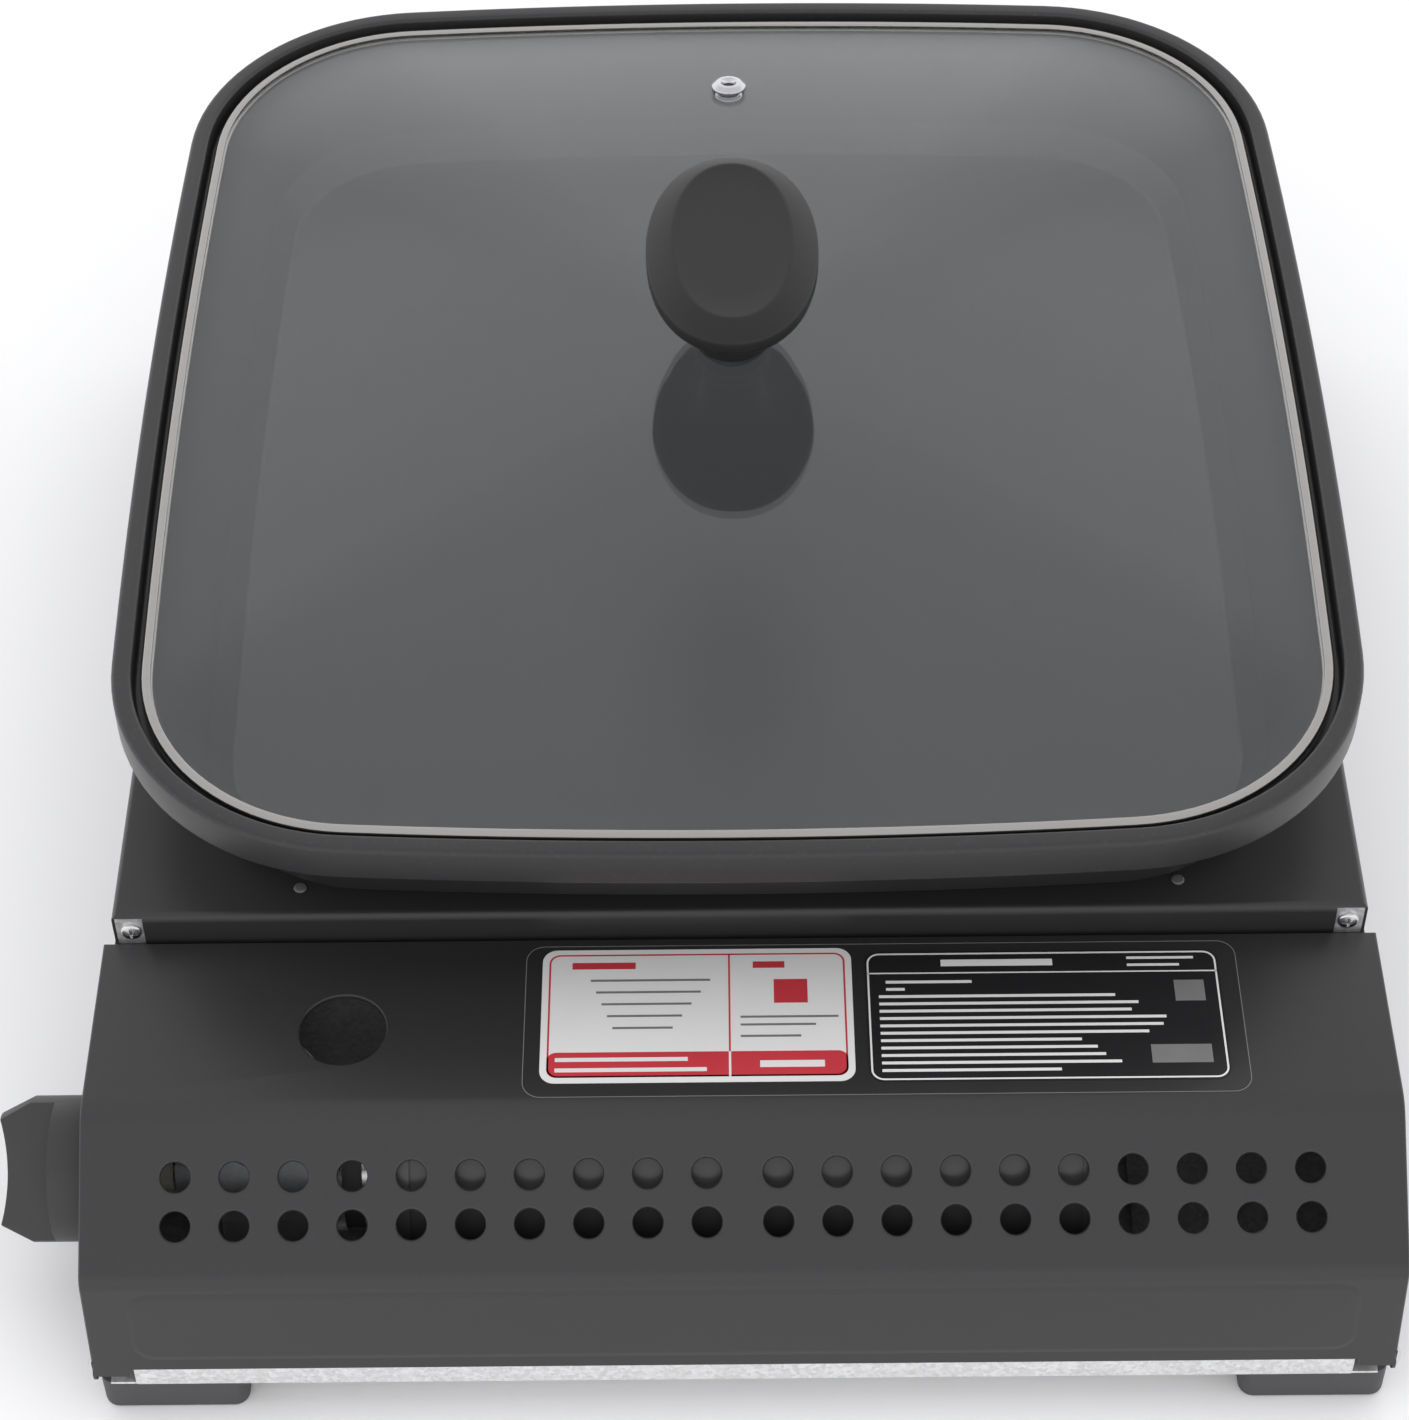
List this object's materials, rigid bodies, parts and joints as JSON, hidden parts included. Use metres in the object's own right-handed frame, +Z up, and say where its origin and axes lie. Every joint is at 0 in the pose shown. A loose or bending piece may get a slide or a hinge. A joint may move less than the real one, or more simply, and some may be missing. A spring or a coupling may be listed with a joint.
{
  "type": "portable gas hot plate",
  "caption": "Portable cassette gas hot plate: folded steel body, hinged vented cartridge cover, side knob, and a rounded-square coated pan with a domed glass lid.",
  "frame": {"origin": "on the ground under the middle of the whole bounding box", "axes": "+Z up, -Y towards the cartridge cover at the front, +X towards the right seen from the front, so the gas knob is on the -X side"},
  "size_m": [0.373, 0.4432, 0.1893],
  "materials": {
    "galvanised": "mottled zinc coat",
    "foot_rubber": "matt",
    "zinc_steel": "bright zinc",
    "black_paint": "semi-gloss",
    "label_pale": "satin film",
    "label_dark": "satin film",
    "can_paint": "gloss",
    "tinplate": "bright",
    "brass": "turned",
    "magnet": "ground",
    "cast_alloy": "as cast",
    "knob_plastic": "fine texture",
    "bezel_plastic": "matt",
    "pale_plastic": "moulded",
    "lead_sleeve": "matt sleeve",
    "ceramic": "unglazed",
    "copper": "drawn tube",
    "burner_iron": "heat darkened",
    "heat_alloy": "rolled",
    "dark_enamel": "enamel",
    "bright_wire": "plated",
    "pan_coating": "speckled coating",
    "lid_glass": "clear tempered",
    "stainless": "brushed",
    "silicone": "matt",
    "handle_plastic": "satin"
  },
  "bodies": {
    "base": {"base_tray": "galvanised", "feet": "foot_rubber", "foot_screws": "zinc_steel", "body_shell": "black_paint", "heat_shield": "galvanised", "corner_screws": "zinc_steel", "shell_rivets": "black_paint", "side_screws": "zinc_steel", "hinge_rivets": "zinc_steel", "cartridge_cradle": "galvanised", "magnet_holder": "zinc_steel", "magnet_ring": "magnet", "regulator_body": "cast_alloy", "regulator_screws": "zinc_steel", "diaphragm_cap": "cast_alloy", "diaphragm_screws": "zinc_steel", "knob_bezel": "bezel_plastic", "piezo_igniter": "pale_plastic", "igniter_bracket": "galvanised", "igniter_lead": "lead_sleeve", "electrode_bracket": "galvanised", "electrode_ceramic": "ceramic", "electrode_pin": "zinc_steel", "gas_pipe": "copper", "pipe_nuts": "brass", "injector": "brass", "injector_bracket": "galvanised", "mixing_tube": "cast_alloy", "burner_body": "cast_alloy", "burner_cap": "burner_iron", "burner_stand": "galvanised", "heat_panel": "heat_alloy", "drip_pan": "dark_enamel", "pan_supports": "bright_wire"},
    "cover": {"cartridge_cover": "black_paint", "label_white": "label_pale", "label_black": "label_dark"},
    "cartridge": {"cartridge_can": "can_paint", "cartridge_collar": "tinplate", "cartridge_stem": "brass"},
    "knob": {"gas_knob": "knob_plastic", "valve_spindle": "brass", "spindle_clip": "zinc_steel", "igniter_cam": "pale_plastic"},
    "plunger": {"igniter_plunger": "pale_plastic"},
    "pan": {"pan": "pan_coating"},
    "lid": {"lid_glass": "lid_glass", "lid_band": "stainless", "steam_vent": "stainless", "lid_knob_seal": "silicone", "lid_knob_neck": "handle_plastic", "lid_knob_cap": "handle_plastic", "lid_knob_screw": "zinc_steel", "lid_knob_washer": "zinc_steel"}
  },
  "joints": [
    {"name": "cover_hinge", "type": "hinge", "parent": "base", "child": "cover", "pos_m": [0.0122, -0.21771, 0.0188], "axis": [1, 0, 0], "range_deg": [0, 95]},
    {"name": "cartridge_slide", "type": "slide", "parent": "base", "child": "cartridge", "axis": [1, 0, 0], "range_m": [0, 0.012]},
    {"name": "knob_turn", "type": "hinge", "parent": "base", "child": "knob", "pos_m": [-0.1678, -0.17189, 0.044], "axis": [1, 0, 0], "range_deg": [0, 110]},
    {"name": "plunger_press", "type": "slide", "parent": "base", "child": "plunger", "axis": [0, 1, 0], "range_m": [0, 0.004]},
    {"name": "pan_lift", "type": "slide", "parent": "base", "child": "pan", "axis": [0, 0, 1], "range_m": [0, 0.12]},
    {"name": "lid_lift", "type": "slide", "parent": "pan", "child": "lid", "axis": [0, 0, 1], "range_m": [0, 0.1]}
  ],
  "couplings": [
    {"joint": "plunger_press", "follows": "knob_turn", "m_per_rad": 0.002083}
  ]
}
